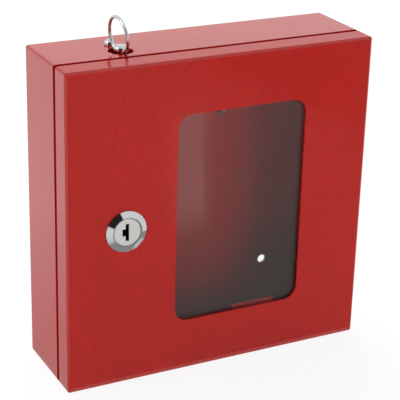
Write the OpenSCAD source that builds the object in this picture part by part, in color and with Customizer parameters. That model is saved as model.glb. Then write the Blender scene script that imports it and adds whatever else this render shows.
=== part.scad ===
// Break glass key box: a folded steel wall case with a hinged door, a glass
// window, a wafer cam lock, a key hook and a striker rod with a pull ring.
// Millimetres. The back lies on the plane Y = 0 and the front faces -Y.
// The origin is the centre of the four wall holes, and +Z is up.

/* [Box] */
// Width of the case and the door
box_w = 160; // [150:1:200]
// Height of the case and the door
box_h = 160; // [150:1:220]
// Depth of the case behind the gap
case_d = 36.5; // [34:0.5:44]
// Gap between the case and the closed door
door_gap = 1; // [0.8:0.1:1.4]
// Depth of the door pan
door_d = 12; // [11.5:0.5:16]
// Thickness of the steel sheet
sheet = 1.2; // [1:0.1:1.5]
// Outer radius of the sheet bends
bend_r = 1.3; // [1:0.1:2.5]
// Width of the lip folded in around the case mouth
lip_w = 8; // [6:0.5:10]
// Width of the relief cut at each corner of the lip
relief_w = 2.6; // [1:0.1:4]

/* [Wall holes] */
// Distance between the wall holes along X
wall_hole_dx = 102; // [90:1:120]
// Distance between the wall holes along Z
wall_hole_dz = 106; // [90:1:120]
// Diameter of each wall hole
wall_hole_d = 4.6; // [4:0.1:6]

/* [Window] */
// Width of the window opening
window_w = 68.4; // [50:0.2:76]
// Height of the window opening
window_h = 106.4; // [80:0.2:112]
// Middle of the window along X
window_x = 10.2; // [6:0.1:14]
// Corner radius of the window opening
window_r = 7; // [3:0.5:12]
// Glass beyond the opening on every side
glass_margin = 8.8; // [6:0.2:10]
// Thickness of the glass
glass_t = 2; // [1.5:0.1:3]
// Air between the glass and the faces that hold it
glass_air = 0.25; // [0.15:0.05:0.4]

/* [Glass holders] */
// Thickness of the rest and the guides
holder_t = 1; // [0.8:0.1:1.2]
// Width of the glass rest
rest_w = 23.5; // [15:0.5:40]
// Middle of the glass rest along X
rest_x = 20.8; // [8:0.1:30]
// Height that the rest shows above the lower window edge
rest_show = 1.4; // [0.5:0.1:4]
// Width of a foot that is welded to the door
foot_w = 6; // [4:0.5:8]
// Length of each side guide
guide_len = 30; // [20:1:36]
// Height of each guide's upper end below the door's middle
guide_drop = 20; // [18:1:30]
// Distance between the two turn clips
clip_dx = 52; // [30:1:64]
// Thickness of a turn clip
clip_t = 1.2; // [1:0.1:1.5]
// Width of a turn clip
clip_w = 9; // [8:0.5:12]
// Height of the clip studs above the glass
clip_rise = 6.5; // [6:0.5:8]
// Length that a turn clip reaches over the glass
clip_reach = 6; // [3:0.5:8]
// Width of the collar at the foot of each clip stud
stud_collar_w = 2; // [1.5:0.1:3]
// Diameter of the clip studs
stud_d = 4; // [3:0.5:5]
// Height of the nut on a clip stud
clip_nut_h = 2.4; // [2:0.1:3.2]

/* [Hinge] */
// Length of the hinge
hinge_len = 150; // [100:1:154]
// Number of knuckles, an odd number
knuckle_count = 15; // [7:2:21]
// Diameter of the hinge pin
pin_d = 2; // [1.6:0.1:2.4]
// Outer diameter of the knuckles
knuckle_d = 3.6; // [3.4:0.1:4]
// Thickness of the hinge leaves
leaf_t = 0.8; // [0.6:0.1:1]
// Width of the case leaf
leaf_case_w = 14; // [12:0.5:18]
// Width of the door leaf
leaf_door_w = 10.5; // [9:0.5:11]
// Distance from the side of the box to the pin
pin_out = 2.1; // [2:0.1:2.6]
// Gap between neighbouring knuckles
knuckle_gap = 0.4; // [0.2:0.1:0.8]
// Running clearance on the radius of every turning fit
run_gap = 0.05; // [0.02:0.01:0.08]
// Rivets in each leaf
rivet_count = 5; // [3:1:8]
// Diameter of the rivet shanks
rivet_d = 3.2; // [2.4:0.1:4]

/* [Lock] */
// Distance from the left side of the box to the middle of the lock
lock_inset = 29.8; // [26:0.1:32]
// Diameter of the lock's bezel
bezel_d = 20.5; // [20:0.5:24]
// Height of the bezel
bezel_h = 2; // [1.5:0.1:3]
// Height of the straight rim at the foot of the bezel
bezel_rim_h = 0.5; // [0.3:0.1:0.8]
// Diameter of the barrel
barrel_d = 18.6; // [18:0.1:19]
// Distance between the flats of the barrel
barrel_flats = 16; // [15:0.5:17]
// Diameter of the plug's face
plug_face_d = 14; // [13:0.5:15.5]
// Diameter of the plug inside the barrel
plug_d = 11; // [10:0.1:12]
// Width of the keyway
keyway_w = 1.8; // [1.2:0.1:2.2]
// Height of the keyway
keyway_h = 8.6; // [6:0.2:8.8]
// Depth of the keyway's broad part, to the left of the slot
ward_deep = 1.6; // [0.4:0.1:1.6]
// Height of the keyway's broad part
ward_h = 3.6; // [2:0.2:4]
// Number of wafers
wafer_count = 5; // [3:1:5]
// Distance from wafer to wafer
wafer_pitch = 2.2; // [2:0.1:2.4]
// Thickness of a wafer
wafer_t = 1; // [0.8:0.1:1.1]
// Width across the flats of the barrel nut
lock_nut_af = 23; // [22:0.5:24]
// Thickness of the barrel nut
lock_nut_h = 3; // [2.5:0.1:3.5]
// Reach of the cam from the middle of the lock
cam_reach = 26; // [25:0.5:27]
// Width of the cam
cam_w = 14; // [12:0.5:16]
// Thickness of the cam
cam_t = 1.8; // [1.5:0.1:2.5]
// Side of the square that drives the cam
drive_sq = 7; // [6:0.1:7.4]

/* [Key hook] */
// Middle of the hook along X
hook_x = 13.4; // [4:0.1:24]
// Drop from the top of the box to the lowest point of the hook
hook_drop = 41.3; // [34:0.1:60]
// Diameter of the hook wire
hook_wire = 2.4; // [2:0.1:3]
// Radius of the hook's cup, at the middle of the wire
cup_r = 5; // [4:0.1:7]
// Distance from the back panel to the middle of the cup
hook_out = 16.8; // [12:0.2:19]
// Side of the square hook plate
hook_plate_w = 14; // [12:0.5:18]

/* [Striker] */
// Middle of the striker along X
striker_x = -43.1; // [-46:0.1:-38]
// Distance from the back of the box to the striker
striker_y = 26.3; // [20:0.1:27]
// Diameter of the hole in the top of the case
striker_hole_d = 12; // [11:0.1:13]
// Diameter of the striker rod
rod_d = 7; // [5:0.1:8]
// Length of the striker rod
rod_len = 65.8; // [50:0.1:66]
// Height of the rod above the top of the case
rod_stand = 2.8; // [2:0.1:4]
// Length of the rod's point
point_len = 5; // [3:0.5:8]
// Outer diameter of the pull ring
ring_d = 19.1; // [17:0.1:24]
// Diameter of the pull ring's wire
ring_wire = 1.6; // [1.2:0.1:2]
// Lean of the pull ring where it rests in the hole
ring_lean = 5.4; // [2:0.1:8]
// Turn of the striker and its ring about the rod's own axis
ring_turn = 4; // [0:1:30]
// Distance that the ring has slipped to the left in the rod's eye
ring_slip = 0.3; // [0:0.1:0.4]
// Width of the striker bracket
bracket_w = 18; // [16:0.5:22]
// Diameter of the bracket rivet's round head
dome_d = 5; // [4.5:0.1:6]
// Height of the collar under the rivet's round head
dome_neck_h = 0.5; // [0.3:0.1:0.8]
// Distance from the striker back to the bracket rivet
dome_back = 11; // [10:0.1:13]
// Distance that the bracket rivet lies left of the striker
dome_left = 1; // [0:0.1:2]

/* [Hidden] */

$fn = 64;
// A cut runs this far past the face it opens
over = 1;

half_w = box_w / 2;
half_h = box_h / 2;
// Planes along Y
case_front = -case_d;
door_back = case_front - door_gap;
door_front = door_back - door_d;
door_inner = door_front + sheet;
lip_back = case_front + sheet;

// Glass and the things that hold it
glass_w = window_w + 2 * glass_margin;
glass_h = window_h + 2 * glass_margin;
glass_front = door_inner + glass_air;
glass_back = glass_front + glass_t;
glass_low = -glass_h / 2;
glass_top = glass_h / 2;
rest_lip_h = glass_margin + rest_show + glass_air + holder_t;
guide_rise = glass_back - door_inner;
clip_front = glass_back + glass_air;
clip_z = glass_top + clip_rise;
stud_collar_d = stud_d + 2 * stud_collar_w;
clip_air = 0.1;
stud_spare = 1;
stud_len = clip_front + clip_t + 2 * clip_air + clip_nut_h + stud_spare - door_inner;
clip_nut_af = 1.75 * stud_d;
corner_r = 2;
holder_bend_r = 1.5 * holder_t;

// Hinge
pin_x = half_w + pin_out;
pin_y = case_front - door_gap / 2;
knuckle_pitch = hinge_len / knuckle_count;
knuckle_len = knuckle_pitch - knuckle_gap;
knuckle_bore = pin_d + 2 * run_gap;
leaf_clear = knuckle_d / 2 + 0.3;
rivet_pitch = hinge_len / rivet_count;
rivet_head_d = 1.8 * rivet_d;
rivet_head_h = 0.8;
rivet_top_d = 0.6 * rivet_head_d;
rivet_hole_d = rivet_d + 0.1;
rivet_bulb_d = 1.35 * rivet_d;
rivet_bulb_h = 1;
rivet_grip = leaf_t + sheet;
case_rivet_y = pin_y + leaf_clear + (leaf_case_w - leaf_clear) / 2;
door_rivet_y = pin_y - leaf_clear - (leaf_door_w - leaf_clear) / 2;
pin_head_d = pin_d + 0.8;
pin_head_h = 0.8;

// Lock, along Y from its face to the screw behind the cam
lock_x = lock_inset - half_w;
lock_face = door_front - bezel_h;
plug_face_y = lock_face + 0.5;
plug_face_t = 1.2;
plug_edge = 0.3;
barrel_cut_d = barrel_d + 0.4;
barrel_cut_flats = barrel_flats + 0.3;
cam_air = 0.3;
cam_front = lip_back + cam_air;
barrel_end = cam_front - 0.2;
bezel_top_d = plug_face_d + 0.9;
wafer_w = 5;
wafer_lug_w = 1.2;
wafer_lug_h = 1.2;
wafer_first = door_front + 2.2;
wafer_slot_gap = 0.1;
wafer_window_w = keyway_w + 0.5;
wafer_window_h = keyway_h - 1.4;
wafer_lift = 0.3;
wafer_lug_z = 2.2;
spring_d = 1;
spring_len = 3;
groove_deep = 0.8;
groove_end = barrel_end - 2;
cam_tip_r = 3;
screw_d = 4;
screw_len = 3.8;
screw_head_d = 7;
screw_head_h = 2.2;
screw_slot_w = 1;
screw_slot_len = 4.4;
screw_slot_deep = 1.2;
washer_d = 9.5;
washer_t = 0.8;
cam_back = cam_front + cam_t;
screw_seat = cam_back + washer_t;
keyway_back = wafer_first + (wafer_count - 1) * wafer_pitch + wafer_t + 0.3;

// Hook, in the plane X = hook_x
hook_low_z = half_h - hook_drop;
cup_z = hook_low_z + hook_wire / 2 + cup_r;
cup_y = -sheet - hook_out;
hook_bend_r = 2.4;
hook_stem_z = cup_z + hook_bend_r;
hook_tip_len = 2.5;

// Striker: the ring's outer circle crosses the top of the case just inside
// the hole's rim, so the ring stands up in the hole and rocks from rim to rim
hole_r = striker_hole_d / 2;
rim_air = 0.15;
ring_r = (ring_d - ring_wire) / 2;
ring_above = sqrt(pow(ring_d / 2, 2) - pow(hole_r - rim_air, 2));
ring_low_z = half_h + ring_above * cos(ring_lean) - ring_r;
// The eye takes the wire and its curve across the rod
eye_rise = ring_r - sqrt(pow(ring_r, 2) - pow(rod_d / 2, 2));
eye_d = ring_wire + eye_rise + 0.6;
eye_z = ring_low_z + eye_rise / 2;
rod_top = half_h + rod_stand;
rod_low = rod_top - rod_len;
point_r = 0.6;
seat_r = 2.4;
seat_air = 0.25;
seat_z = rod_low + point_len * (seat_r - point_r) / (rod_d / 2 - point_r) - seat_air;
bracket_t = sheet;
bracket_bend_r = 1.5 * sheet;
bracket_top = half_h - sheet;
bracket_front = -striker_y - bracket_w / 2 + 0.6;
dome_shank_d = 3;
dome_tail_h = 1;
dome_neck_d = dome_d - 1.2;
rod_round = 1.4;

// A block with all its edges rounded, standing on its corner
module soft_block(size, r) {
    low = [r, r, r];
    high = size - low;
    translate([0, high.y, 0]) rotate([90, 0, 0]) linear_extrude(high.y - low.y)
        translate([size.x / 2, size.z / 2]) round_rect(size.x, size.z, r);
    translate([r, 0, r]) cube([size.x - 2 * r, size.y, size.z - 2 * r]);
    for (y = [low.y, high.y]) {
        for (z = [low.z, high.z])
            translate([low.x, y, z]) rotate([0, 90, 0]) cylinder(r = r, h = high.x - low.x);
        for (x = [low.x, high.x])
            translate([x, y, low.z]) cylinder(r = r, h = high.z - low.z);
        for (x = [low.x, high.x], z = [low.z, high.z])
            translate([x, y, z]) sphere(r);
    }
}

// A box given by its two corners
module span(low, high) {
    translate(low) cube(high - low);
}

// A rod along Y from the plane y0 to the plane y1
module rod_y(d, y0, y1) {
    translate([0, y1, 0]) rotate([90, 0, 0]) cylinder(d = d, h = y1 - y0);
}

// A rod along X from the plane x0 to the plane x1
module rod_x(d, x0, x1) {
    translate([x0, 0, 0]) rotate([0, 90, 0]) cylinder(d = d, h = x1 - x0);
}

// A flat outline in X and Z, given a thickness from the plane y0 to y1
module plate_y(y0, y1) {
    translate([0, y1, 0]) rotate([90, 0, 0]) linear_extrude(y1 - y0) children();
}

// A rectangle with round corners, about its middle
module round_rect(w, h, r) {
    square([w - 2 * r, h], center = true);
    square([w, h - 2 * r], center = true);
    for (x = [-1, 1], y = [-1, 1])
        translate([x * (w / 2 - r), y * (h / 2 - r)]) circle(r);
}

// What a rounded corner leaves off a profile. The corner is at the origin
// and the metal lies towards +x and +y.
module corner_cut(r) {
    difference() {
        translate([-over, -over]) square(r + over);
        translate([r, r]) circle(r);
    }
}

// A nut that stands on the plane y = 0, its corners turned off at the free face
module hex_nut(af, h, bore) {
    across = af / cos(30);
    turned = 0.1 * af;
    turned_h = turned * tan(30);
    rotate([-90, 0, 0]) difference() {
        intersection() {
            cylinder(d = across, h = h, $fn = 6);
            union() {
                cylinder(d = across, h = h - turned_h);
                translate([0, 0, h - turned_h])
                    cylinder(d1 = across, d2 = across - 2 * turned, h = turned_h);
            }
        }
        translate([0, 0, -over]) cylinder(d = bore, h = h + 2 * over);
    }
}

// A round bar with two flats
module double_d(d, flats, y0, y1) {
    intersection() {
        rod_y(d, y0, y1);
        span([-flats / 2, y0 - over, -d], [flats / 2, y1 + over, d]);
    }
}

// The height of each rivet in a hinge leaf
function rivet_z(i) = (i - (rivet_count - 1) / 2) * rivet_pitch;

// The lower end of each knuckle
function knuckle_z(i) = -hinge_len / 2 + i * knuckle_pitch + knuckle_gap / 2;

module wall_hole_cuts() {
    for (x = [-1, 1], z = [-1, 1])
        translate([x * wall_hole_dx / 2, 0, z * wall_hole_dz / 2])
            rod_y(wall_hole_d, -sheet - over, over);
}

// Holes through a leaf and the sheet under it, at the distance y along Y
module rivet_cuts(y) {
    for (i = [0 : rivet_count - 1])
        translate([0, y, rivet_z(i)])
            rod_x(rivet_hole_d, half_w - sheet - over, half_w + leaf_t + over);
}

// Blind rivets through a leaf and the sheet under it
module leaf_rivets(y) {
    for (i = [0 : rivet_count - 1])
        translate([half_w + leaf_t, y, rivet_z(i)]) {
            rotate([0, 90, 0])
                cylinder(d1 = rivet_head_d, d2 = rivet_top_d, h = rivet_head_h);
            rod_x(rivet_d, -rivet_grip, 0);
            rod_x(rivet_bulb_d, -rivet_grip - rivet_bulb_h, -rivet_grip);
        }
}

module case_shell() {
    color("firebrick") difference() {
        translate([-half_w, case_front, -half_h])
            soft_block([box_w, case_d, box_h], bend_r);
        span([-half_w + sheet, lip_back, -half_h + sheet],
             [half_w - sheet, -sheet, half_h - sheet]);
        span([-half_w + lip_w, case_front - over, -half_h + lip_w],
             [half_w - lip_w, lip_back + over, half_h - lip_w]);
        for (x = [0, 1], z = [0, 1])
            mirror([x, 0, 0]) mirror([0, 0, z])
                span([half_w - sheet - relief_w, case_front - over, half_h - lip_w - over],
                     [half_w - sheet, lip_back, half_h + over]);
        wall_hole_cuts();
        rivet_cuts(case_rivet_y);
        translate([striker_x, -striker_y, half_h - sheet - over])
            cylinder(d = striker_hole_d, h = sheet + 2 * over);
        translate([striker_x - dome_left, dome_back - striker_y, half_h - sheet - over])
            cylinder(d = dome_shank_d + 0.1, h = sheet + 2 * over);
    }
}

module door_pan() {
    color("firebrick") difference() {
        translate([-half_w, door_front, -half_h])
            soft_block([box_w, door_d + 2 * bend_r, box_h], bend_r);
        span([-half_w - over, door_back, -half_h - over],
             [half_w + over, door_back + 3 * bend_r, half_h + over]);
        span([-half_w + sheet, door_inner, -half_h + sheet],
             [half_w - sheet, door_back + over, half_h - sheet]);
        translate([window_x, 0, 0]) plate_y(door_front - over, door_inner + over)
            round_rect(window_w, window_h, window_r);
        translate([lock_x, 0, 0])
            double_d(barrel_cut_d, barrel_cut_flats, door_front - over, door_inner + over);
        rivet_cuts(door_rivet_y);
    }
}

// One leaf with the knuckles of its own turn: first = 0 takes the end ones.
// The leaf lies from y0 to y1 and its tongues reach the pin.
module hinge_leaf(first, y0, y1, rivet_y) {
    tongue_y = y0 > pin_y ? pin_y : pin_y - leaf_clear - over;
    difference() {
        union() {
            span([half_w, y0, -hinge_len / 2], [half_w + leaf_t, y1, hinge_len / 2]);
            for (i = [first : 2 : knuckle_count - 1]) {
                translate([pin_x, pin_y, knuckle_z(i)])
                    cylinder(d = knuckle_d, h = knuckle_len);
                translate([half_w, tongue_y, knuckle_z(i)])
                    cube([leaf_t, leaf_clear + over, knuckle_len]);
            }
        }
        translate([pin_x, pin_y, -hinge_len / 2 - over])
            cylinder(d = knuckle_bore, h = hinge_len + 2 * over);
        rivet_cuts(rivet_y);
    }
}

module hinge_leaf_case() {
    color("firebrick")
        hinge_leaf(0, pin_y + leaf_clear, pin_y + leaf_case_w, case_rivet_y);
}

module hinge_leaf_door() {
    color("firebrick")
        hinge_leaf(1, pin_y - leaf_door_w, pin_y - leaf_clear, door_rivet_y);
}

module hinge_pin() {
    color("silver") translate([pin_x, pin_y, 0]) {
        cylinder(d = pin_d, h = hinge_len, center = true);
        for (z = [-hinge_len / 2 - pin_head_h, hinge_len / 2])
            translate([0, 0, z]) cylinder(d = pin_head_d, h = pin_head_h);
    }
}

module hinge_rivets_case() {
    color("silver") leaf_rivets(case_rivet_y);
}

module hinge_rivets_door() {
    color("silver") leaf_rivets(door_rivet_y);
}

module hook_plate() {
    color("silver") translate([hook_x, 0, hook_stem_z])
        plate_y(-sheet - holder_t, -sheet)
            round_rect(hook_plate_w, hook_plate_w, corner_r);
}

// Wire bent in the plane X = hook_x: a stem, a bend down and a half-round cup
module key_hook() {
    bend_y = cup_y + cup_r + hook_bend_r;
    color("silver") translate([hook_x, 0, 0]) {
        translate([0, 0, hook_stem_z]) rod_y(hook_wire, bend_y, -sheet - holder_t);
        translate([0, bend_y, cup_z]) rotate([90, 0, 90]) rotate([0, 0, 90])
            rotate_extrude(angle = 90) translate([hook_bend_r, 0]) circle(d = hook_wire);
        translate([0, cup_y, cup_z]) rotate([90, 0, 90]) rotate([0, 0, 180])
            rotate_extrude(angle = 180) translate([cup_r, 0]) circle(d = hook_wire);
        translate([0, cup_y - cup_r, cup_z]) cylinder(d = hook_wire, h = hook_tip_len);
        translate([0, cup_y - cup_r, cup_z + hook_tip_len]) sphere(d = hook_wire);
    }
}

module glass_pane() {
    color([0.6, 0.75, 0.75, 0.4]) translate([window_x, 0, 0])
        plate_y(glass_front, glass_back) round_rect(glass_w, glass_h, corner_r);
}

// A bent strip: foot on the door, shelf under the glass, lip behind it
module glass_rest() {
    shelf_z = glass_low - glass_air;
    lip_y = glass_back + glass_air;
    shelf_low = shelf_z - holder_t;
    color("firebrick") translate([rest_x - rest_w / 2, 0, 0])
        rotate([90, 0, 90]) linear_extrude(rest_w) difference() {
            union() {
                translate([door_inner, shelf_low - foot_w]) square([holder_t, foot_w + holder_t]);
                translate([door_inner, shelf_low]) square([lip_y + holder_t - door_inner, holder_t]);
                translate([lip_y, shelf_low]) square([holder_t, rest_lip_h]);
            }
            translate([door_inner, shelf_z]) mirror([0, 1]) corner_cut(holder_bend_r);
            translate([lip_y + holder_t, shelf_low]) mirror([1, 0]) corner_cut(holder_bend_r);
        }
}

// Two short angles beside the lower half of the glass
module glass_guides() {
    for (side = [-1, 1])
        color("firebrick")
            translate([window_x + side * (glass_w / 2 + glass_air), 0, -guide_drop - guide_len])
                mirror([side < 0 ? 1 : 0, 0, 0]) linear_extrude(guide_len)
                    translate([0, door_inner]) difference() {
                        union() {
                            square([holder_t, guide_rise]);
                            square([foot_w, holder_t]);
                        }
                        corner_cut(holder_bend_r);
                    }
}

// Puts its children at the left (-1) or right (1) clip stud
module at_clip(side) {
    translate([window_x + side * clip_dx / 2, 0, clip_z]) children();
}

module clip_studs() {
    color("silver") for (side = [-1, 1]) at_clip(side) {
        rod_y(stud_collar_d, door_inner, clip_front - clip_air);
        rod_y(stud_d, door_inner, door_inner + stud_len);
    }
}

module clip_nuts() {
    nut_front = clip_front + clip_t + clip_air;
    color("silver") for (side = [-1, 1]) at_clip(side)
        translate([0, nut_front, 0]) hex_nut(clip_nut_af, clip_nut_h, stud_d + 2 * run_gap);
}

// A flat finger that swings about its stud, rounded at both ends
module turn_clip() {
    finger = clip_rise + clip_reach - clip_w / 2;
    color("silver") difference() {
        plate_y(clip_front, clip_front + clip_t) {
            circle(d = clip_w);
            translate([0, -finger]) circle(d = clip_w);
            translate([-clip_w / 2, -finger]) square([clip_w, finger]);
        }
        rod_y(stud_d + 2 * run_gap, clip_front - over, clip_front + clip_t + over);
    }
}

module turn_clip_left() {
    at_clip(-1) turn_clip();
}

module turn_clip_right() {
    at_clip(1) turn_clip();
}

module lock_barrel() {
    groove_w = wafer_w + 0.4;
    bore = plug_d + 2 * run_gap;
    color("gainsboro") translate([lock_x, 0, 0]) difference() {
        union() {
            rod_y(bezel_d, door_front - bezel_rim_h, door_front);
            translate([0, door_front - bezel_rim_h, 0]) rotate([90, 0, 0])
                cylinder(d1 = bezel_d, d2 = bezel_top_d, h = bezel_h - bezel_rim_h);
            double_d(barrel_d, barrel_flats, door_front, barrel_end);
        }
        rod_y(plug_face_d + 2 * run_gap, lock_face - over, plug_face_y + plug_face_t + 0.1);
        rod_y(bore, lock_face - over, barrel_end + over);
        for (turn = [0, 90]) rotate([0, turn, 0])
            span([-groove_w / 2, wafer_first - wafer_t, -bore / 2 - groove_deep],
                 [groove_w / 2, groove_end, bore / 2 + groove_deep]);
    }
}

module lock_nut() {
    color("silver") translate([lock_x, door_inner, 0]) rotate([0, 30, 0])
        hex_nut(lock_nut_af, lock_nut_h, barrel_d + 2 * run_gap);
}

// The middle of each wafer along Y
function wafer_y(i) = wafer_first + i * wafer_pitch + wafer_t / 2;

module keyway() {
    span([-keyway_w / 2, lock_face - over, -keyway_h / 2],
         [keyway_w / 2, keyway_back, keyway_h / 2]);
    span([-keyway_w / 2 - ward_deep, lock_face - over, -ward_h / 2],
         [0, keyway_back, ward_h / 2]);
}

// Room for one wafer, its lug and its spring
module wafer_slot(gap) {
    half = wafer_t / 2 + gap;
    span([-wafer_w / 2 - gap, -half, -plug_d], [wafer_w / 2 + gap, half, plug_d]);
    span([0, -half, wafer_lug_z - spring_len - gap],
         [wafer_w / 2 + wafer_lug_w + gap, half, wafer_lug_z + wafer_lug_h + gap]);
}

module lock_plug() {
    color("gainsboro") translate([lock_x, 0, 0]) difference() {
        union() {
            translate([0, plug_face_y + plug_edge, 0]) rotate([90, 0, 0])
                cylinder(d1 = plug_face_d, d2 = plug_face_d - 2 * plug_edge, h = plug_edge);
            rod_y(plug_face_d, plug_face_y + plug_edge, plug_face_y + plug_face_t);
            rod_y(plug_d, plug_face_y + plug_edge, barrel_end + 0.1);
            span([-drive_sq / 2, barrel_end, -drive_sq / 2],
                 [drive_sq / 2, cam_back - 0.2, drive_sq / 2]);
        }
        keyway();
        for (i = [0 : wafer_count - 1])
            translate([0, wafer_y(i), 0]) wafer_slot(wafer_slot_gap);
        rod_y(screw_d + 0.1, screw_seat - screw_len - 0.2, cam_back + over);
    }
}

// Flat wafers with a window for the key and a lug that its spring pushes
module lock_wafers() {
    color("goldenrod") translate([lock_x, 0, 0])
        for (i = [0 : wafer_count - 1])
            translate([0, wafer_y(i), 0]) difference() {
                union() {
                    intersection() {
                        rod_y(plug_d, -wafer_t / 2, wafer_t / 2);
                        span([-wafer_w / 2, -wafer_t, -plug_d], [wafer_w / 2, wafer_t, plug_d]);
                    }
                    span([0, -wafer_t / 2, wafer_lug_z],
                         [wafer_w / 2 + wafer_lug_w, wafer_t / 2, wafer_lug_z + wafer_lug_h]);
                }
                translate([0, 0, (i % 3 - 1) * wafer_lift])
                    span([-wafer_window_w / 2, -wafer_t, -wafer_window_h / 2],
                         [wafer_window_w / 2, wafer_t, wafer_window_h / 2]);
            }
}

module wafer_springs() {
    spring_x = wafer_w / 2 + wafer_lug_w / 2 + wafer_slot_gap / 2;
    color("silver") translate([lock_x, 0, 0])
        for (i = [0 : wafer_count - 1])
            translate([spring_x, wafer_y(i), wafer_lug_z - spring_len])
                cylinder(d = spring_d, h = spring_len, $fn = 24);
}

// The cam hangs down while the lock is open and turns left behind the lip
module lock_cam() {
    tip_z = cam_tip_r - cam_reach;
    color("silver") translate([lock_x, 0, 0]) difference() {
        plate_y(cam_front, cam_back) {
            circle(d = cam_w);
            translate([-cam_w / 2, tip_z]) square([cam_w, -tip_z]);
            translate([cam_tip_r - cam_w / 2, -cam_reach]) square([cam_w - 2 * cam_tip_r, cam_tip_r]);
            for (x = [-1, 1])
                translate([x * (cam_w / 2 - cam_tip_r), tip_z]) circle(cam_tip_r);
        }
        span([-drive_sq / 2 - run_gap, cam_front - over, -drive_sq / 2 - run_gap],
             [drive_sq / 2 + run_gap, cam_back + over, drive_sq / 2 + run_gap]);
    }
}

module cam_washer() {
    color("silver") translate([lock_x, 0, 0]) difference() {
        rod_y(washer_d, cam_back, cam_back + washer_t);
        rod_y(screw_d + 0.3, cam_back - over, cam_back + washer_t + over);
    }
}

module cam_screw() {
    head_back = screw_seat + screw_head_h;
    color("silver") translate([lock_x, 0, 0]) difference() {
        union() {
            rod_y(screw_d, screw_seat - screw_len, head_back);
            rod_y(screw_head_d, screw_seat, head_back);
        }
        for (turn = [0, 90]) rotate([0, turn, 0])
            span([-screw_slot_len / 2, head_back - screw_slot_deep, -screw_slot_w / 2],
                 [screw_slot_len / 2, head_back + over, screw_slot_w / 2]);
    }
}

// A strap: a flange under the top of the case, a back leg and a seat shelf
module striker_bracket() {
    seat_low = seat_z - bracket_t;
    depth = -sheet - bracket_front;
    color("firebrick") difference() {
        translate([striker_x - bracket_w / 2, 0, 0])
            rotate([90, 0, 90]) linear_extrude(bracket_w) difference() {
                union() {
                    translate([bracket_front, bracket_top - bracket_t]) square([depth, bracket_t]);
                    translate([-sheet - bracket_t, seat_low]) square([bracket_t, bracket_top - seat_low]);
                    translate([bracket_front, seat_low]) square([depth, bracket_t]);
                }
                translate([-sheet, bracket_top]) rotate(180) corner_cut(bracket_bend_r);
                translate([-sheet, seat_low]) mirror([1, 0]) corner_cut(bracket_bend_r);
            }
        translate([striker_x, -striker_y, bracket_top - bracket_t - over])
            cylinder(d = striker_hole_d, h = bracket_t + 2 * over);
        translate([striker_x, -striker_y, seat_z - bracket_t - over])
            cylinder(r = seat_r, h = bracket_t + 2 * over);
        translate([striker_x - dome_left, dome_back - striker_y, bracket_top - bracket_t - over])
            cylinder(d = dome_shank_d + 0.1, h = bracket_t + 2 * over);
    }
}

module bracket_rivet() {
    color("gainsboro")
        translate([striker_x - dome_left, dome_back - striker_y, half_h]) {
            translate([0, 0, dome_neck_h]) difference() {
                sphere(d = dome_d);
                translate([0, 0, -dome_d]) cube(2 * dome_d, center = true);
            }
            cylinder(d = dome_neck_d, h = dome_neck_h);
            translate([0, 0, -sheet - bracket_t]) cylinder(d = dome_shank_d, h = sheet + bracket_t);
            translate([0, 0, -sheet - bracket_t - dome_tail_h])
                cylinder(d = 1.5 * dome_shank_d, h = dome_tail_h);
        }
}

// Puts its children on the striker's axis, turned as the striker stands
module at_striker() {
    translate([striker_x, -striker_y, 0]) rotate(ring_turn) children();
}

// A pointed rod with a rounded head and a cross eye for the ring
module striker_rod() {
    flat_r = rod_d / 2 - rod_round;
    color("gainsboro") at_striker() difference() {
        union() {
            translate([0, 0, rod_low]) cylinder(r1 = point_r, d2 = rod_d, h = point_len);
            translate([0, 0, rod_low + point_len])
                cylinder(d = rod_d, h = rod_len - point_len - rod_round);
            translate([0, 0, rod_top - rod_round]) {
                cylinder(r = flat_r, h = rod_round);
                rotate_extrude() translate([flat_r, 0]) circle(rod_round);
            }
        }
        translate([0, 0, eye_z]) rod_y(eye_d, -rod_d, rod_d);
    }
}

module striker_ring() {
    color("gainsboro") at_striker() translate([-ring_slip, 0, ring_low_z])
        rotate([0, -ring_lean, 0]) translate([0, 0, ring_r]) rotate([0, 90, 0])
            rotate_extrude() translate([ring_r, 0]) circle(d = ring_wire, $fn = 32);
}

case_shell();
hinge_leaf_case();
hinge_pin();
hinge_rivets_case();
hook_plate();
key_hook();
striker_bracket();
bracket_rivet();
door_pan();
hinge_leaf_door();
hinge_rivets_door();
glass_pane();
glass_rest();
glass_guides();
clip_studs();
clip_nuts();
turn_clip_left();
turn_clip_right();
lock_barrel();
lock_nut();
lock_plug();
lock_wafers();
wafer_springs();
lock_cam();
cam_washer();
cam_screw();
striker_rod();
striker_ring();
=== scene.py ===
"""Break glass key box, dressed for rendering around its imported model.

Lengths of the part are in millimetres, and the named ones carry the names
they have in the part's source. Everything is turned to metres where a mesh or
a material is made. The studio is laid out in metres.
"""

from math import cos, pi, radians, sin, tan

import bmesh
import bpy
from mathutils import Matrix, Vector


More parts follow.
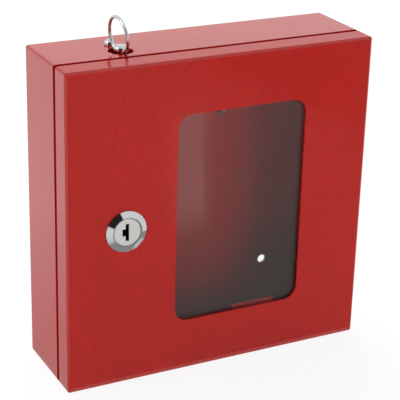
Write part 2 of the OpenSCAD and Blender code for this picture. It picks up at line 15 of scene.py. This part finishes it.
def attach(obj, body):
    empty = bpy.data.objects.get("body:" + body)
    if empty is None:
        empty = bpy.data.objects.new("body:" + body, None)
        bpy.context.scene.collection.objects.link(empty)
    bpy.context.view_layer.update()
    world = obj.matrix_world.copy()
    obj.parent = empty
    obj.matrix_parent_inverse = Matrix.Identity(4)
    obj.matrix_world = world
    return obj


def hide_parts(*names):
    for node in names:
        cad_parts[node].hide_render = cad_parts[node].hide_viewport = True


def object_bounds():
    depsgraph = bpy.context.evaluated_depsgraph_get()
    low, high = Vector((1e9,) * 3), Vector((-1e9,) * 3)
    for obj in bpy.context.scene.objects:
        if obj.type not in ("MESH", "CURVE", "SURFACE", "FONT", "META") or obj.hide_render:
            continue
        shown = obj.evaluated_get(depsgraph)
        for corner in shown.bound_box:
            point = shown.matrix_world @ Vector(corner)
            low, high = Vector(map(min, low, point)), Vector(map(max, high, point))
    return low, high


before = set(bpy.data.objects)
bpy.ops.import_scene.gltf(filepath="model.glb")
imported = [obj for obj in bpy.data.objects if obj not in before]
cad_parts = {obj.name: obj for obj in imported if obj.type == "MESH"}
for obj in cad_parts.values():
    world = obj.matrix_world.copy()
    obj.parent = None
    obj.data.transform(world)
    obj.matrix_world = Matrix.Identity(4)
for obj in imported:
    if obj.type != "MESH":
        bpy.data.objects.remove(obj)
cad_low, cad_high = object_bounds()

MM = 0.001

# Sizes of the part that the added pieces share
SHEET = 1.2
BARREL_D = 18.6
BARREL_FLATS = 16.0
STUD_D = 4.0
CLIP_DX = 52.0
HOLDER_T = 1.0
SPRING_D = 1.0
WAFER_COUNT = 5


def box_of(name):
    """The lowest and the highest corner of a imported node, in millimetres."""
    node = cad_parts[name]
    corners = [node.matrix_world @ Vector(corner) / MM for corner in node.bound_box]
    return (Vector([min(c[i] for c in corners) for i in range(3)]),
            Vector([max(c[i] for c in corners) for i in range(3)]))


# ---- Camera -------------------------------------------------------------

def add_camera():
    """The camera that took the photo, solved from the edges of the box."""
    azimuth, elevation, roll = (radians(a) for a in (-27.46742, 22.48461, 1.60407))
    back = Vector((sin(azimuth) * cos(elevation), -cos(azimuth) * cos(elevation), sin(elevation)))
    right = (-back).cross(Vector((0, 0, 1))).normalized()
    up = right.cross(-back)
    level = Matrix((right, up, back)).transposed()
    turn = level @ Matrix.Rotation(roll, 3, "Z")
    place = Matrix.Translation((-0.295595, -0.595251, 0.264110))
    data = bpy.data.cameras.new("photo_camera")
    data.sensor_width = 36
    data.lens = 126.1612
    camera = bpy.data.objects.new("photo_camera", data)
    camera.matrix_world = place @ turn.to_4x4()
    bpy.context.scene.collection.objects.link(camera)
    bpy.context.scene.camera = camera


add_camera()
bpy.context.scene.view_settings.view_transform = "Standard"


# ---- Helpers for shader nodes -------------------------------------------

def linear(hex_colour):
    """An sRGB hex colour as the linear colour a shader takes."""
    channels = [int(hex_colour[i:i + 2], 16) / 255 for i in (1, 3, 5)]
    return [c / 12.92 if c <= 0.04045 else ((c + 0.055) / 1.055) ** 2.4 for c in channels] + [1]


def per_metre(size_mm):
    """The texture scale at which one cell of a pattern measures size_mm."""
    return 1 / (size_mm * MM)


def set_sockets(node, sockets):
    """Gives a node's inputs a value each, or the output to link."""
    for key, value in sockets.items():
        if isinstance(value, bpy.types.NodeSocket):
            node.id_data.links.new(value, node.inputs[key])
        else:
            node.inputs[key].default_value = value


def add_node(nodes, kind, sockets=None, **settings):
    """Adds a node with its settings and its sockets, given as for set_sockets."""
    node = nodes.new(kind)
    for name, value in settings.items():
        setattr(node, name, value)
    set_sockets(node, sockets or {})
    return node


def start_material(name):
    """A new material, its nodes, its shader and its Object coordinates."""
    material = bpy.data.materials.new(name)
    material.use_nodes = True
    nodes = material.node_tree.nodes
    place = add_node(nodes, "ShaderNodeTexCoord").outputs["Object"]
    return material, nodes, nodes["Principled BSDF"], place


def show(nodes, shader):
    """Makes a shader the one that the surface has."""
    set_sockets(nodes["Material Output"], {"Surface": shader.outputs[0]})


# ---- Finishes -----------------------------------------------------------

def joint_shade_mask(nodes, axes, facing):
    """1 on the front bend of the case and on the rim of the door, which shade
    each other across the gap, and 0 elsewhere. It masks painted shade: a darker
    red with no reflection. What faces the other piece squarely, as the case's
    lip does, keeps its gloss."""
    towards_case, half_width, fade = 0.4, 1.3, 0.3
    middle = (box_of("case_shell")[0].y + box_of("door_pan")[1].y) / 2 + towards_case
    along = add_node(nodes, "ShaderNodeMath", {
        0: axes["Y"], 1: middle * MM}, operation="SUBTRACT").outputs[0]
    away = add_node(nodes, "ShaderNodeMath", {0: along}, operation="ABSOLUTE").outputs[0]
    near = add_node(nodes, "ShaderNodeMapRange", {
        "Value": away, "From Min": (half_width + fade) * MM, "From Max": half_width * MM})
    square = add_node(nodes, "ShaderNodeMath", {0: facing["Y"]}, operation="ABSOLUTE").outputs[0]
    outside = add_node(nodes, "ShaderNodeMapRange", {
        "Value": square, "From Min": 0.98, "From Max": 0.9})
    return add_node(nodes, "ShaderNodeMath", {
        0: near.outputs["Result"], 1: outside.outputs["Result"]}, operation="MULTIPLY").outputs[0]


def flange_spring_back(nodes, axes, facing, degrees, film):
    """Tilts the gloss of the door's upper and lower flanges, which sprang back
    by some degrees after they were folded. film is the bump of the paint."""
    door_front = box_of("door_pan")[0].y * MM
    behind = add_node(nodes, "ShaderNodeMath", {
        0: axes["Y"], 1: door_front}, operation="SUBTRACT").outputs[0]
    level = add_node(nodes, "ShaderNodeMath", {0: facing["Z"]}, operation="ABSOLUTE").outputs[0]
    lean = add_node(nodes, "ShaderNodeMath", {
        0: behind, 1: level}, operation="MULTIPLY").outputs[0]
    return add_node(nodes, "ShaderNodeBump", {
        "Height": lean, "Strength": 1.0, "Distance": tan(radians(degrees)),
        "Normal": film}).outputs["Normal"]


def baked_red_enamel(name, shaded_joint=False, flange_lean=0):
    """Sprayed and baked enamel on sheet steel: a deep red under a clear, wet
    looking film, so the red shows face on and pale surroundings show at a slant.
    The orange peel of spray paint mottles it. The flag after the name paints
    shade where the door meets the case, a darker red with no reflection, and
    flange_lean is the spring-back of the door's flanges in degrees."""
    clear_coat, mirror = 0.15, 0.5
    material, nodes, shader, place = start_material(name)
    cloud = add_node(nodes, "ShaderNodeTexNoise", {
        "Vector": place, "Scale": per_metre(35), "Detail": 3.0}).outputs["Fac"]
    # Real peel is under 1 mm across and is drawn coarser here, so that it shows
    peel = add_node(nodes, "ShaderNodeTexNoise", {
        "Vector": place, "Scale": per_metre(1.4), "Detail": 2.0}).outputs["Fac"]
    tint = add_node(nodes, "ShaderNodeMix", {
        "Factor": 0.7, "A": cloud, "B": peel}).outputs["Result"]
    colour = add_node(nodes, "ShaderNodeMix", {
        "Factor": tint, "A": linear("#8E0E08"), "B": linear("#CE1D0F")},
        data_type="RGBA").outputs["Result"]
    haze = add_node(nodes, "ShaderNodeTexNoise", {
        "Vector": place, "Scale": per_metre(6), "Detail": 4.0}).outputs["Fac"]
    gloss = add_node(nodes, "ShaderNodeMapRange", {
        "Value": haze, "To Min": 0.09, "To Max": 0.15}).outputs["Result"]
    film = add_node(nodes, "ShaderNodeBump", {
        "Height": peel, "Strength": 0.5, "Distance": 0.002 * MM}).outputs["Normal"]
    if shaded_joint or flange_lean:
        normal = add_node(nodes, "ShaderNodeNewGeometry").outputs["Normal"]
        facing = add_node(nodes, "ShaderNodeSeparateXYZ", {0: normal}).outputs
        axes = add_node(nodes, "ShaderNodeSeparateXYZ", {0: place}).outputs
    if shaded_joint:
        # Painted shade in the joint: the red darkens and loses its reflection and coat
        matt = joint_shade_mask(nodes, axes, facing)
        colour = add_node(nodes, "ShaderNodeMix", {
            "Factor": matt, "A": colour, "B": linear("#8E0C0A")},
            data_type="RGBA").outputs["Result"]
        mirror = add_node(nodes, "ShaderNodeMapRange", {
            "Value": matt, "To Min": mirror, "To Max": 0.0}).outputs["Result"]
        clear_coat = add_node(nodes, "ShaderNodeMapRange", {
            "Value": matt, "To Min": clear_coat, "To Max": 0.0}).outputs["Result"]
    if flange_lean:
        film = flange_spring_back(nodes, axes, facing, flange_lean, film)
    set_sockets(shader, {
        "Base Color": colour, "Roughness": gloss, "IOR": 1.5, "Specular IOR Level": mirror,
        "Coat Weight": clear_coat, "Coat Roughness": 0.04, "Coat IOR": 1.5,
        "Normal": film, "Coat Normal": film})
    return material


def polished_chrome():
    """Bright chrome plate on a turned or drawn part: a cool mirror, a little
    softened by polishing marks too fine to tell apart."""
    material, nodes, shader, place = start_material("polished_chrome")
    # Polishing marks are finer than this and drawn coarser, so that they show
    marks = add_node(nodes, "ShaderNodeTexNoise", {
        "Vector": place, "Scale": per_metre(0.5), "Detail": 3.0}).outputs["Fac"]
    gloss = add_node(nodes, "ShaderNodeMapRange", {
        "Value": marks, "To Min": 0.04, "To Max": 0.12}).outputs["Result"]
    bump = add_node(nodes, "ShaderNodeBump", {
        "Height": marks, "Strength": 0.3, "Distance": 0.004 * MM}).outputs["Normal"]
    set_sockets(shader, {
        "Base Color": linear("#C6C7C8"), "Metallic": 1.0, "Roughness": gloss, "Normal": bump})
    return material


def satin_nickel():
    """Nickel plate on a blasted die casting: pale grey and nearly matt, with a
    faint grain. From 0.2 mm to 1.2 mm behind its face, as inside the keyway,
    its colour turns nearly black."""
    material, nodes, shader, place = start_material("satin_nickel")
    # The pits of blasting grit are finer and drawn coarser, so that they show
    grain = add_node(nodes, "ShaderNodeTexNoise", {
        "Vector": place, "Scale": per_metre(0.35), "Detail": 4.0}).outputs["Fac"]
    nickel = add_node(nodes, "ShaderNodeMix", {
        "Factor": grain, "A": linear("#E2E1DD"), "B": linear("#F0EFEC")},
        data_type="RGBA").outputs["Result"]
    # Darker with depth behind the face: the keyway turns nearly black
    face = box_of("lock_plug")[0].y
    axes = add_node(nodes, "ShaderNodeSeparateXYZ", {0: place}).outputs
    deep = add_node(nodes, "ShaderNodeMapRange", {
        "Value": axes["Y"], "From Min": (face + 0.2) * MM,
        "From Max": (face + 1.2) * MM}).outputs["Result"]
    colour = add_node(nodes, "ShaderNodeMix", {
        "Factor": deep, "A": nickel, "B": linear("#161412")},
        data_type="RGBA").outputs["Result"]
    gloss = add_node(nodes, "ShaderNodeMapRange", {
        "Value": grain, "To Min": 0.5, "To Max": 0.62}).outputs["Result"]
    bump = add_node(nodes, "ShaderNodeBump", {
        "Height": grain, "Strength": 0.6, "Distance": 0.02 * MM}).outputs["Normal"]
    set_sockets(shader, {
        "Base Color": colour, "Metallic": 0.65, "Roughness": gloss, "Normal": bump})
    return material


def zinc_plate():
    """Blue passivated zinc on steel: a soft grey metal whose tint drifts from
    blue to straw, with the spangle of a barrel plated part."""
    material, nodes, shader, place = start_material("zinc_plate")
    drift = add_node(nodes, "ShaderNodeTexNoise", {
        "Vector": place, "Scale": per_metre(7), "Detail": 2.0}).outputs["Fac"]
    colour = add_node(nodes, "ShaderNodeMix", {
        "Factor": drift, "A": linear("#AEB6BC"), "B": linear("#C2BDAE")},
        data_type="RGBA").outputs["Result"]
    spangle = add_node(nodes, "ShaderNodeTexVoronoi", {
        "Vector": place, "Scale": per_metre(0.6)}).outputs["Distance"]
    gloss = add_node(nodes, "ShaderNodeMapRange", {
        "Value": spangle, "To Min": 0.28, "To Max": 0.42}).outputs["Result"]
    bump = add_node(nodes, "ShaderNodeBump", {
        "Height": spangle, "Strength": 0.3, "Distance": 0.01 * MM}).outputs["Normal"]
    set_sockets(shader, {
        "Base Color": colour, "Metallic": 1.0, "Roughness": gloss, "Normal": bump})
    return material


def stamped_brass():
    """Brass strip, blanked and tumbled: yellow metal with a dull, scuffed face."""
    material, nodes, shader, place = start_material("stamped_brass")
    scuff = add_node(nodes, "ShaderNodeTexNoise", {
        "Vector": place, "Scale": per_metre(0.8), "Detail": 4.0}).outputs["Fac"]
    colour = add_node(nodes, "ShaderNodeMix", {
        "Factor": scuff, "A": linear("#B08A3C"), "B": linear("#D8B766")},
        data_type="RGBA").outputs["Result"]
    gloss = add_node(nodes, "ShaderNodeMapRange", {
        "Value": scuff, "To Min": 0.25, "To Max": 0.45}).outputs["Result"]
    set_sockets(shader, {"Base Color": colour, "Metallic": 1.0, "Roughness": gloss})
    return material


def spring_wire():
    """Hard drawn steel wire, oiled: a dark bright metal with a patchy film."""
    material, nodes, shader, place = start_material("spring_wire")
    oil = add_node(nodes, "ShaderNodeTexNoise", {
        "Vector": place, "Scale": per_metre(0.2), "Detail": 2.0}).outputs["Fac"]
    gloss = add_node(nodes, "ShaderNodeMapRange", {
        "Value": oil, "To Min": 0.2, "To Max": 0.35}).outputs["Result"]
    set_sockets(shader, {"Base Color": linear("#8F9296"), "Metallic": 1.0, "Roughness": gloss})
    return material


def float_glass():
    """Thin float glass: clear, faintly green, with a film of dust that greys it.
    Light for other surfaces passes straight through it."""
    material, nodes, shader, place = start_material("float_glass")
    dust = add_node(nodes, "ShaderNodeTexNoise", {
        "Vector": place, "Scale": per_metre(18), "Detail": 5.0}).outputs["Fac"]
    film = add_node(nodes, "ShaderNodeMapRange", {
        "Value": dust, "To Min": 0.008, "To Max": 0.02}).outputs["Result"]
    set_sockets(shader, {
        "Base Color": linear("#F1F8F5"), "Transmission Weight": 1.0, "Roughness": 0.0,
        "IOR": 1.5})
    powder = add_node(nodes, "ShaderNodeBsdfDiffuse", {"Color": linear("#D8D4D0")})
    dusty = add_node(nodes, "ShaderNodeMixShader", {
        0: film, 1: shader.outputs[0], 2: powder.outputs[0]})
    path = add_node(nodes, "ShaderNodeLightPath").outputs
    soft_light = add_node(nodes, "ShaderNodeMath", {
        0: path["Is Shadow Ray"], 1: path["Is Diffuse Ray"]}, operation="MAXIMUM")
    clear = add_node(nodes, "ShaderNodeBsdfTransparent", {"Color": linear("#F4F8F6")})
    show(nodes, add_node(nodes, "ShaderNodeMixShader", {
        0: soft_light.outputs[0], 1: dusty.outputs[0], 2: clear.outputs[0]}))
    return material


ENAMEL = baked_red_enamel("baked_red_enamel")
CASE_ENAMEL = baked_red_enamel("case_red_enamel", shaded_joint=True)
DOOR_ENAMEL = baked_red_enamel("door_red_enamel", shaded_joint=True, flange_lean=5)
CHROME = polished_chrome()
NICKEL = satin_nickel()
ZINC = zinc_plate()
BRASS = stamped_brass()
WIRE = spring_wire()
GLASS = float_glass()

FINISHES = {
    "case_shell": CASE_ENAMEL, "hinge_leaf_case": ENAMEL, "hinge_pin": ZINC,
    "hinge_rivets_case": ZINC, "hook_plate": ZINC, "key_hook": ZINC,
    "striker_bracket": ENAMEL, "bracket_rivet": CHROME,
    "door_pan": DOOR_ENAMEL, "hinge_leaf_door": ENAMEL, "hinge_rivets_door": ZINC,
    "glass_pane": GLASS, "glass_rest": ENAMEL, "glass_guides": ENAMEL,
    "clip_studs": ZINC, "clip_nuts": ZINC, "turn_clip_left": ZINC, "turn_clip_right": ZINC,
    "lock_barrel": CHROME, "lock_nut": ZINC, "lock_plug": NICKEL, "lock_wafers": BRASS,
    "wafer_springs": WIRE, "lock_cam": ZINC, "cam_washer": ZINC, "cam_screw": ZINC,
    "striker_rod": CHROME, "striker_ring": CHROME,
}
for name, finish in FINISHES.items():
    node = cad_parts[name]
    node.data.materials.clear()
    node.data.materials.append(finish)


# ---- Added pieces -------------------------------------------------------

def add_piece(name, bm, finish, body, smooth=False):
    """Turns a bmesh in millimetres into a piece that rides on a body."""
    bmesh.ops.scale(bm, vec=(MM, MM, MM), verts=bm.verts)
    bmesh.ops.recalc_face_normals(bm, faces=bm.faces)
    mesh = bpy.data.meshes.new(name)
    bm.to_mesh(mesh)
    bm.free()
    mesh.materials.append(finish)
    for face in mesh.polygons:
        face.use_smooth = smooth
    piece = bpy.data.objects.new(name, mesh)
    bpy.context.scene.collection.objects.link(piece)
    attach(piece, body)
    return piece


def fill_openings(bm):
    """Closes every open edge loop with a face."""
    edges = [e for e in bm.edges if e.is_boundary]
    bmesh.ops.holes_fill(bm, edges=edges, sides=0)


def add_thread(bm, centre, root_r, rise, pitch, low, high):
    """Winds a ridge about the Y axis through centre (x, z), from the plane low
    to high. Its foot is sunk into the root."""
    steps, sunk = 36, 0.1
    foot, crest = 0.42 * pitch, 0.06 * pitch
    ridge = [(root_r - sunk, -foot), (root_r + rise, -crest),
             (root_r + rise, crest), (root_r - sunk, foot)]
    verts = [bm.verts.new((centre[0] + r, low + foot + y, centre[1])) for r, y in ridge]
    edges = [bm.edges.new((verts[i], verts[(i + 1) % 4])) for i in range(4)]
    turns = (high - low - 2 * foot) / pitch
    count = int(turns * steps)
    bmesh.ops.spin(bm, geom=verts + edges, cent=(centre[0], 0, centre[1]), axis=(0, 1, 0),
                   dvec=(0, pitch / steps, 0), angle=count * 2 * pi / steps, steps=count,
                   use_merge=False)
    fill_openings(bm)


def barrel_thread():
    """The thread of the lock barrel behind its nut, cut away on the two flats."""
    rise, pitch, nut_air, chamfer = 0.28, 1.0, 0.1, 0.3
    nut_low, nut_high = box_of("lock_nut")
    bm = bmesh.new()
    add_thread(bm, (0, 0), BARREL_D / 2, rise, pitch, nut_high.y + nut_air,
               box_of("lock_barrel")[1].y - chamfer)
    for side in (-1, 1):
        bmesh.ops.bisect_plane(bm, geom=bm.verts[:] + bm.edges[:] + bm.faces[:],
                               plane_co=(side * BARREL_FLATS / 2, 0, 0),
                               plane_no=(side, 0, 0), clear_outer=True)
        fill_openings(bm)
    bmesh.ops.translate(bm, vec=((nut_low.x + nut_high.x) / 2, 0, 0), verts=bm.verts)
    add_piece("barrel_thread", bm, CHROME, "door")


def wafer_spring_coils():
    """A coiled spring under the lug of each wafer, in place of a plain rod."""
    steps, turns, wire_r, side_gap = 14, 7, 0.09, 0.01
    coil_r = SPRING_D / 2 - wire_r - side_gap
    low, high = box_of("wafer_springs")
    x = (low.x + high.x) / 2
    pitch = (high.y - low.y - SPRING_D) / (WAFER_COUNT - 1)
    rise = (high.z - low.z - 2 * wire_r) / (turns * steps)
    bm = bmesh.new()
    for i in range(WAFER_COUNT):
        y = low.y + SPRING_D / 2 + i * pitch
        wire = bmesh.ops.create_circle(bm, segments=6, radius=wire_r)["verts"]
        bmesh.ops.rotate(bm, cent=(0, 0, 0), matrix=Matrix.Rotation(pi / 2, 3, "X"), verts=wire)
        bmesh.ops.translate(bm, vec=(x + coil_r, y, low.z + wire_r), verts=wire)
        edges = list({e for v in wire for e in v.link_edges})
        bmesh.ops.spin(bm, geom=wire + edges, cent=(x, y, 0), axis=(0, 0, 1),
                       dvec=(0, 0, rise), angle=2 * pi * turns, steps=turns * steps,
                       use_merge=False)
    fill_openings(bm)
    coils = add_piece("wafer_spring_coils", bm, WIRE, "plug", smooth=True)
    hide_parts("wafer_springs")


def stud_threads():
    """The ends of the clip studs' threads, which stand out of their nuts."""
    rise, pitch, end_air = 0.14, 0.7, 0.02
    nut_low, nut_high = box_of("clip_nuts")
    z = (nut_low.z + nut_high.z) / 2
    bm = bmesh.new()
    for side in (-1, 1):
        x = (nut_low.x + nut_high.x + side * CLIP_DX) / 2
        add_thread(bm, (x, z), STUD_D / 2, rise, pitch, nut_high.y + end_air,
                   box_of("clip_studs")[1].y - end_air)
    add_piece("stud_threads", bm, ZINC, "door")


def weld_marks(name, body, finish, spots, plane, face, outer_r):
    """Shallow electrode dimples of spot welds at the spots (x, z) of a plane
    across Y, on the side that face gives (+1 towards the wall)."""
    deep, rim, dish = 0.1, 0.15, 0.08
    bm = bmesh.new()
    for x, z in spots:
        turned = Matrix.Rotation(-face * pi / 2, 4, "X")
        place = Matrix.Translation((x, plane + face * deep / 2, z)) @ turned
        made = bmesh.ops.create_cone(bm, cap_ends=True, segments=28, radius1=outer_r,
                                     radius2=outer_r - rim, depth=deep, matrix=place)
        faces = {f for v in made["verts"] for f in v.link_faces}
        top = max(faces, key=lambda f: face * f.calc_center_median().y)
        bmesh.ops.inset_region(bm, faces=[top], thickness=outer_r / 6, depth=0)
        bmesh.ops.inset_region(bm, faces=[top], thickness=outer_r / 4, depth=-dish)
    add_piece(name, bm, finish, body)


def holder_welds():
    """The welds that hold the glass rest and the two glass guides. They are set
    in from the ends and from the outer edge of a foot, clear of its bend."""
    rest_end, rest_edge, guide_end, guide_edge = 5, 2.9, 7, 2.5
    rest_low, rest_high = box_of("glass_rest")
    guides_low, guides_high = box_of("glass_guides")
    rest_z = rest_low.z + rest_edge
    spots = [(rest_low.x + rest_end, rest_z), (rest_high.x - rest_end, rest_z)]
    for x in (guides_low.x + guide_edge, guides_high.x - guide_edge):
        spots += [(x, guides_low.z + guide_end), (x, guides_high.z - guide_end)]
    weld_marks("holder_weld_marks", "door", ENAMEL, spots,
               plane=rest_low.y + HOLDER_T, face=1, outer_r=1.8)


def hook_welds():
    """The welds in two corners of the hook plate."""
    corner = 3
    low, high = box_of("hook_plate")
    spots = [(low.x + corner, low.z + corner), (high.x - corner, high.z - corner)]
    weld_marks("hook_weld_marks", "case", ZINC, spots,
               plane=low.y, face=-1, outer_r=1.6)


def bracket_welds():
    """The welds down the leg of the striker bracket."""
    leg_end = 16
    low, high = box_of("striker_bracket")
    x = (low.x + high.x) / 2
    spots = [(x, low.z + leg_end), (x, high.z - leg_end)]
    weld_marks("bracket_weld_marks", "case", ENAMEL, spots,
               plane=high.y - SHEET, face=-1, outer_r=2.1)


barrel_thread()
wafer_spring_coils()
stud_threads()
holder_welds()
hook_welds()
bracket_welds()


# ---- Studio -------------------------------------------------------------

LEFT, FRONT, GROUND = cad_low


def white_floor():
    """A white floor: plain white to the camera and in reflections, apart from
    the object's faint shadow. To other surfaces it sends the lamps' light back up."""
    material, nodes, shader, _ = start_material("white_floor")
    set_sockets(shader, {
        "Base Color": linear("#F2F2F2"), "Roughness": 0.9,
        "Emission Color": (1, 1, 1, 1), "Emission Strength": 0.52})
    thin = add_node(nodes, "ShaderNodeBsdfDiffuse", {"Color": (0.14, 0.14, 0.14, 1)})
    glow = add_node(nodes, "ShaderNodeEmission", {"Color": (1, 1, 1, 1), "Strength": 0.89})
    white = add_node(nodes, "ShaderNodeAddShader", {0: thin.outputs[0], 1: glow.outputs[0]})
    path = add_node(nodes, "ShaderNodeLightPath").outputs
    mirrored = add_node(nodes, "ShaderNodeMath", {
        0: path["Is Camera Ray"], 1: path["Is Glossy Ray"]}, operation="MAXIMUM")
    seen = add_node(nodes, "ShaderNodeMath", {
        0: mirrored.outputs[0], 1: path["Is Transmission Ray"]}, operation="MAXIMUM")
    show(nodes, add_node(nodes, "ShaderNodeMixShader", {
        0: seen.outputs[0], 1: shader.outputs[0], 2: white.outputs[0]}))
    return material


def table_top(name, glow, far_glow=None, fade=None):
    """A table top that only what mirrors it shows, also behind the glass. With
    fade (y, y) its glow turns to far_glow between two distances before the box."""
    material, nodes, _, place = start_material(name)
    emission = add_node(nodes, "ShaderNodeEmission", {"Strength": glow})
    if fade:
        axes = add_node(nodes, "ShaderNodeSeparateXYZ", {0: place}).outputs
        strength = add_node(nodes, "ShaderNodeMapRange", {
            "Value": axes["Y"], "From Min": fade[0], "From Max": fade[1],
            "To Min": glow, "To Max": far_glow}, interpolation_type="SMOOTHSTEP")
        set_sockets(emission, {"Strength": strength.outputs["Result"]})
    clear = add_node(nodes, "ShaderNodeBsdfTransparent")
    path = add_node(nodes, "ShaderNodeLightPath").outputs
    mirrored = add_node(nodes, "ShaderNodeMath", {
        0: path["Glossy Depth"], 1: 1.0}, operation="MINIMUM")
    show(nodes, add_node(nodes, "ShaderNodeMixShader", {
        0: mirrored.outputs[0], 1: clear.outputs[0], 2: emission.outputs[0]}))
    return material


def foot_shade():
    """The soft shade on the floor beside the foot of the box, for reflections."""
    material, nodes, _, place = start_material("foot_shade")
    shade_r = 0.2
    spread = add_node(nodes, "ShaderNodeMapping", {
        "Vector": place, "Location": (LEFT, 0, GROUND),
        "Scale": (shade_r, shade_r, shade_r)}, vector_type="TEXTURE").outputs[0]
    near = add_node(nodes, "ShaderNodeTexGradient", {
        "Vector": spread}, gradient_type="SPHERICAL").outputs["Fac"]
    strength = add_node(nodes, "ShaderNodeMapRange", {
        "Value": near, "To Min": 1.0, "To Max": 0.62}).outputs["Result"]
    show(nodes, add_node(nodes, "ShaderNodeEmission", {"Strength": strength}))
    return material


def unlit_room():
    """The unlit room behind the camera."""
    material, _, shader, _ = start_material("dark_room")
    set_sockets(shader, {
        "Base Color": linear("#000000"), "Roughness": 1.0, "Specular IOR Level": 0.0,
        "Emission Color": linear("#2A2C2E"), "Emission Strength": 1.0})
    return material


def add_stage_sheet(name, material, corners):
    """A flat sheet of the studio through its corners."""
    bm = bmesh.new()
    bm.faces.new([bm.verts.new(corner) for corner in corners])
    mesh = bpy.data.meshes.new(name)
    bm.to_mesh(mesh)
    bm.free()
    mesh.materials.append(material)
    sheet = bpy.data.objects.new(name, mesh)
    bpy.context.scene.collection.objects.link(sheet)
    return sheet


def lay_on_floor(name, material, lift, outline):
    """A sheet that lies lift above the floor, inside the outline (x, y)."""
    return add_stage_sheet(name, material, [(x, y, GROUND + lift) for x, y in outline])


def leave_to_gloss(thing):
    """Leaves a sheet of the studio to reflections alone."""
    thing.visible_camera = False
    thing.visible_diffuse = False
    thing.visible_shadow = False
    thing.visible_transmission = False
    thing.visible_volume_scatter = False


def add_softbox(name, place, width, height, radiance, in_gloss=True):
    """A flat lamp that faces the box and shines evenly with that radiance."""
    data = bpy.data.lights.new(name, "AREA")
    data.shape = "RECTANGLE"
    data.size, data.size_y = width, height
    data.energy = radiance * pi * width * height
    lamp = bpy.data.objects.new(name, data)
    lamp.location = place
    lamp.rotation_mode = "QUATERNION"
    lamp.rotation_quaternion = (-Vector(place)).to_track_quat("-Z", "Y")
    lamp.visible_glossy = in_gloss
    bpy.context.scene.collection.objects.link(lamp)


def lay_floor():
    """The white floor, and on it a grey table top that only reflections show,
    which keeps the red of the door and the glass deep. A brighter strip on the
    table top paints a pool of light for reflections, and a darker sheet paints
    shade on its far corner."""
    floor_reach, table_lift, shade_lift, strip_lift = 4.0, 0.001, 0.0015, 0.002
    grey, pale, dark = 0.37, 0.66, 0.22
    far, right, gap = -1.6, 1.17, 0.0005
    near, beside = FRONT - gap, LEFT - gap
    lay_on_floor("floor", white_floor(), 0, [
        (-floor_reach, -floor_reach), (floor_reach, -floor_reach),
        (floor_reach, floor_reach), (-floor_reach, floor_reach)])
    sheets = [
        lay_on_floor("table_top", table_top("grey_table", grey), table_lift, [
            (-0.09, far), (right, far), (0.1, near), (-0.09, near)]),
        # Painted light: a brighter glowing strip that reflections show as a pool of light
        lay_on_floor("table_strip", table_top("painted_light_strip", grey, pale, (-0.19, -0.225)),
                     strip_lift, [(0.145, -0.4), (0.173, -0.4), (0.067, -0.19), (0.043, -0.19)]),
        # Painted shade: a dimmer glowing sheet on the table's far corner, for reflections
        lay_on_floor("table_shade", table_top("shaded_table", dark), shade_lift, [
            (-0.047, far), (right, far), (0.265, -0.292)])]
    for sheet in sheets:
        leave_to_gloss(sheet)
        sheet.visible_transmission = True
    leave_to_gloss(lay_on_floor("foot_shade", foot_shade(), table_lift, [
        (-0.9, -0.3), (beside, -0.3), (beside, 0.9), (-0.9, 0.9)]))


def stand_room():
    """The dark room behind the camera, which the bezel and the ring mirror."""
    centre = Vector((-0.42, -0.86, 0.37))
    across, upright = Vector((0.42, -0.22, 0)), Vector((0.11, 0.21, 0.39))
    room = add_stage_sheet("dark_room", unlit_room(), [
        centre - across - upright, centre + across - upright,
        centre + across + upright, centre - across + upright])
    leave_to_gloss(room)
    room.visible_diffuse = True


def light_studio():
    """Three soft lamps, and a white world that is dimmer to diffuse surfaces."""
    add_softbox("front_lamp", (0.22, -1.1, 0.2), 0.7, 0.5, 3.2, in_gloss=False)
    add_softbox("left_lamp", (-1.0, 0.1, 0.9), 0.6, 0.6, 3.8)
    add_softbox("top_lamp", (0.1, 0.7, 1.1), 0.9, 0.9, 5.9, in_gloss=False)
    world = bpy.data.worlds.new("studio")
    bpy.context.scene.world = world
    world.use_nodes = True
    nodes = world.node_tree.nodes
    path = add_node(nodes, "ShaderNodeLightPath").outputs
    strength = add_node(nodes, "ShaderNodeMapRange", {
        "Value": path["Is Diffuse Ray"], "To Min": 1.0, "To Max": 0.25}).outputs["Result"]
    set_sockets(nodes["Background"], {"Color": (1, 1, 1, 1), "Strength": strength})


lay_floor()
stand_room()
light_studio()
